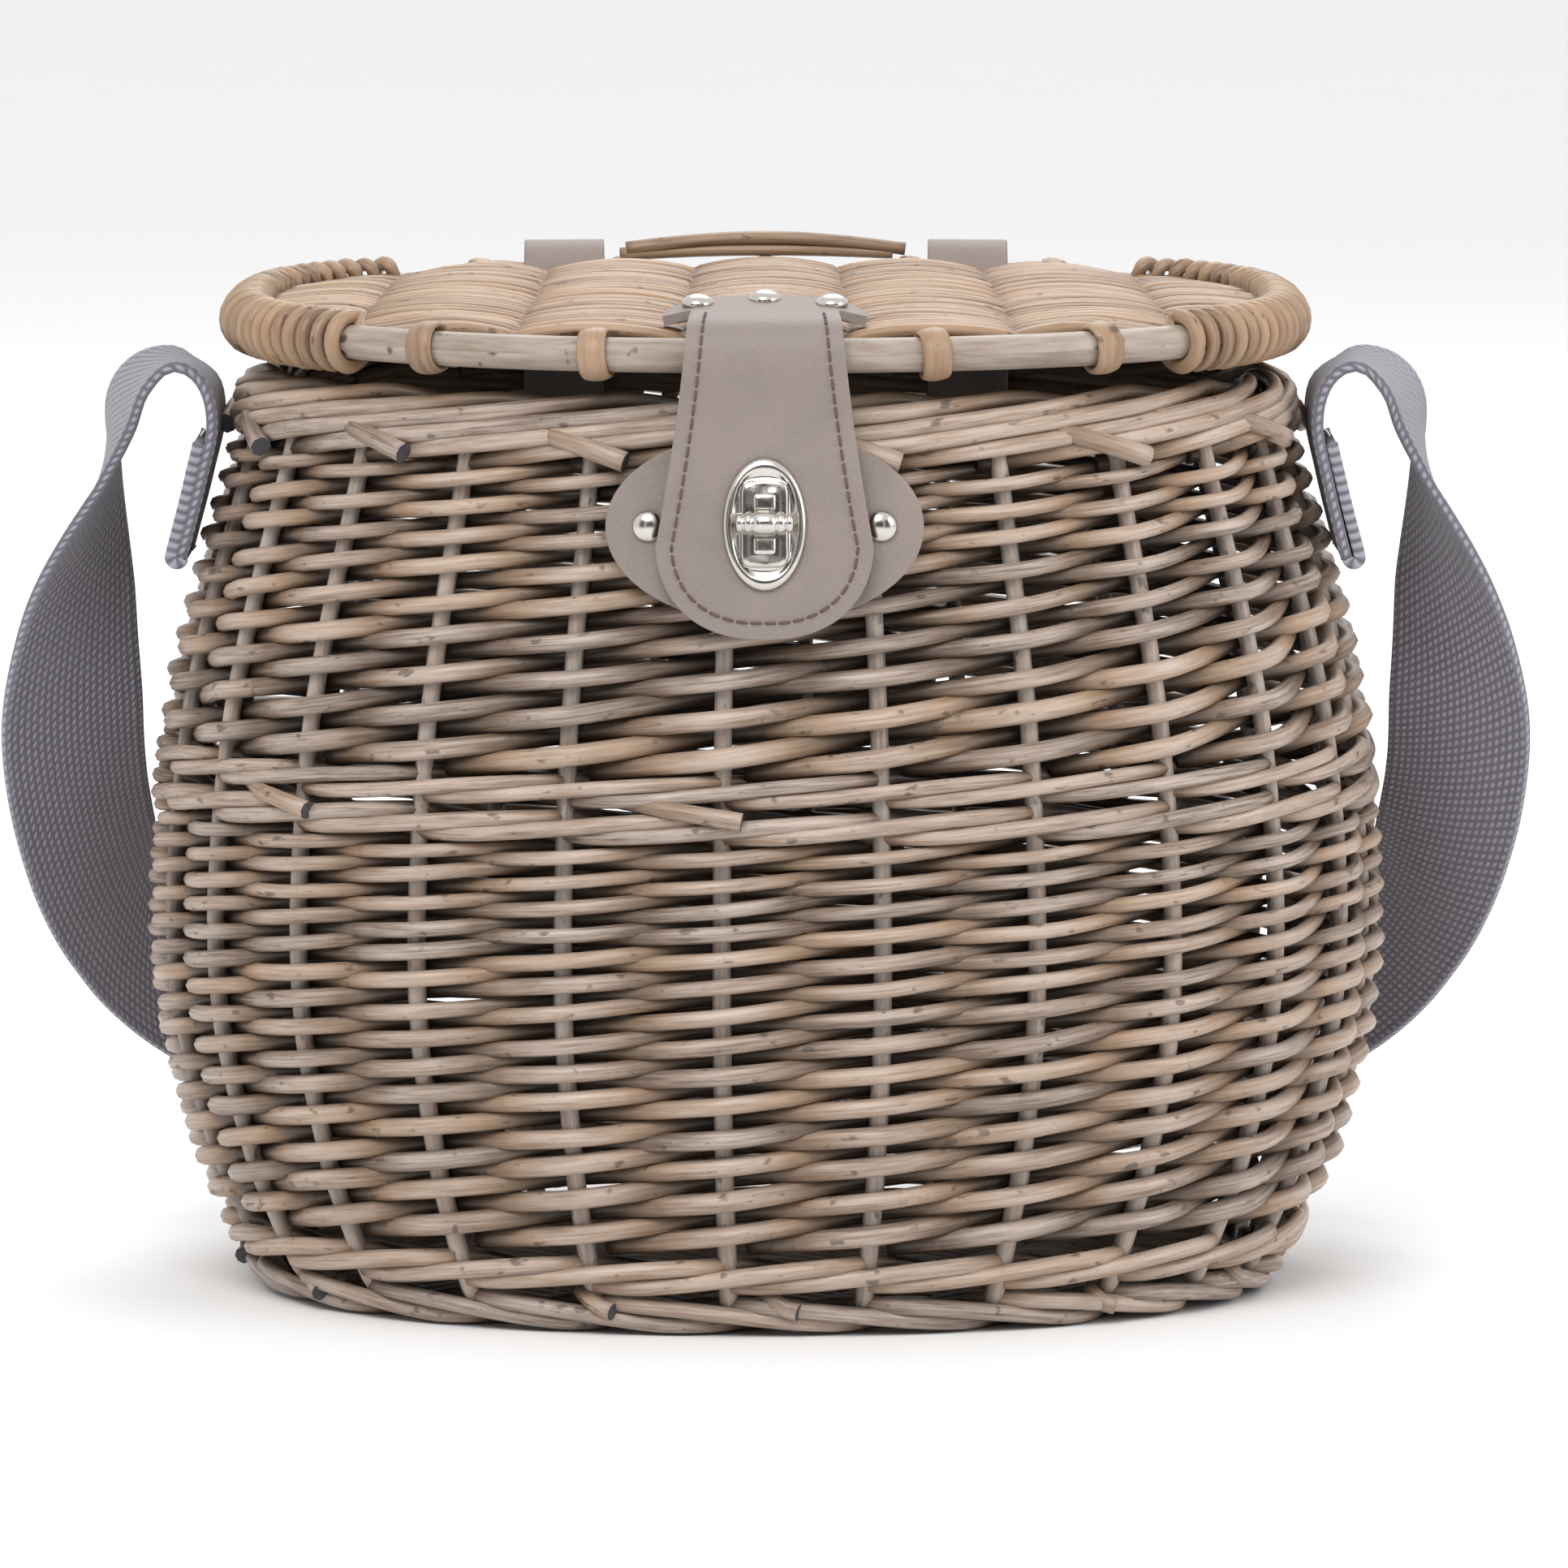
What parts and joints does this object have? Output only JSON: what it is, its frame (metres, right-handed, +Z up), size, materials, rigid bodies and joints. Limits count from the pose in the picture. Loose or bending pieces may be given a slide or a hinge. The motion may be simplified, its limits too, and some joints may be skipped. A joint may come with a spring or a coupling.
{
  "type": "wicker creel basket",
  "caption": "Oval bulging wicker basket with a hinged wicker lid, a leather flap with a turn lock, and a webbing shoulder strap.",
  "frame": {"origin": "centre of the base, on the surface that the basket stands on", "axes": "+Z up, +X to the right, the front with the turn lock faces -Y"},
  "size_m": [0.4716, 0.3003, 0.3142],
  "materials": {
    "willow": "grey-brown washed willow rods, slightly rough",
    "pale_willow": "warm tan willow rods, satin",
    "grey_willow": "weathered grey willow rod",
    "leather": "fine-grained taupe leather, stitched near its edges",
    "webbing": "coarse blue-grey webbing",
    "nickel": "polished nickel plate"
  },
  "bodies": {
    "basket": {"base_stick_1": "willow", "base_stick_2": "willow", "base_stick_3": "willow", "base_weave": "willow", "foot_wale": "willow", "front_patch": "leather", "hinge_strap_left": "leather", "hinge_strap_right": "leather", "lock_back_plate": "nickel", "lock_base": "nickel", "lower_wall_weave": "willow", "middle_wale": "willow", "patch_rivet_left": "nickel", "patch_rivet_right": "nickel", "rim_border": "willow", "shoulder_strap": "webbing", "stake_01": "willow", "stake_02": "willow", "stake_03": "willow", "stake_04": "willow", "stake_05": "willow", "stake_06": "willow", "stake_07": "willow", "stake_08": "willow", "stake_09": "willow", "stake_10": "willow", "stake_11": "willow", "stake_12": "willow", "stake_13": "willow", "stake_14": "willow", "stake_15": "willow", "stake_16": "willow", "stake_17": "willow", "stake_18": "willow", "stake_19": "willow", "stake_20": "willow", "stake_21": "willow", "stake_22": "willow", "stake_23": "willow", "stake_24": "willow", "strap_rivet_left_1": "nickel", "strap_rivet_left_2": "nickel", "strap_rivet_right_1": "nickel", "strap_rivet_right_2": "nickel", "upper_wall_weave": "willow"},
    "lid": {"head_rivet_1": "nickel", "head_rivet_2": "nickel", "head_rivet_3": "nickel", "lid_back_rod": "pale_willow", "lid_hoop": "grey_willow", "lid_stick_1": "pale_willow", "lid_stick_2": "pale_willow", "lid_stick_3": "pale_willow", "lid_stick_4": "pale_willow", "lid_stick_5": "pale_willow", "lid_weave": "pale_willow", "flap_head": "leather"},
    "flap": {"flap_strap": "leather", "lock_plate": "nickel"},
    "turn_bar": {"lock_bar": "nickel"}
  },
  "joints": [
    {"name": "lid_open", "type": "hinge", "parent": "basket", "child": "lid", "pos_m": [0, 0.10541, 0.30093], "axis": [-1, 0, 0], "range_deg": [0, 110]},
    {"name": "flap_lift", "type": "hinge", "parent": "lid", "child": "flap", "pos_m": [0, -0.11596, 0.30306], "axis": [-1, 0, 0], "range_deg": [0, 120]},
    {"name": "lock_turn", "type": "hinge", "parent": "basket", "child": "turn_bar", "pos_m": [0, -0.11393, 0.245], "axis": [0, -0.9889, 0.1489], "range_deg": [0, 90]}
  ]
}
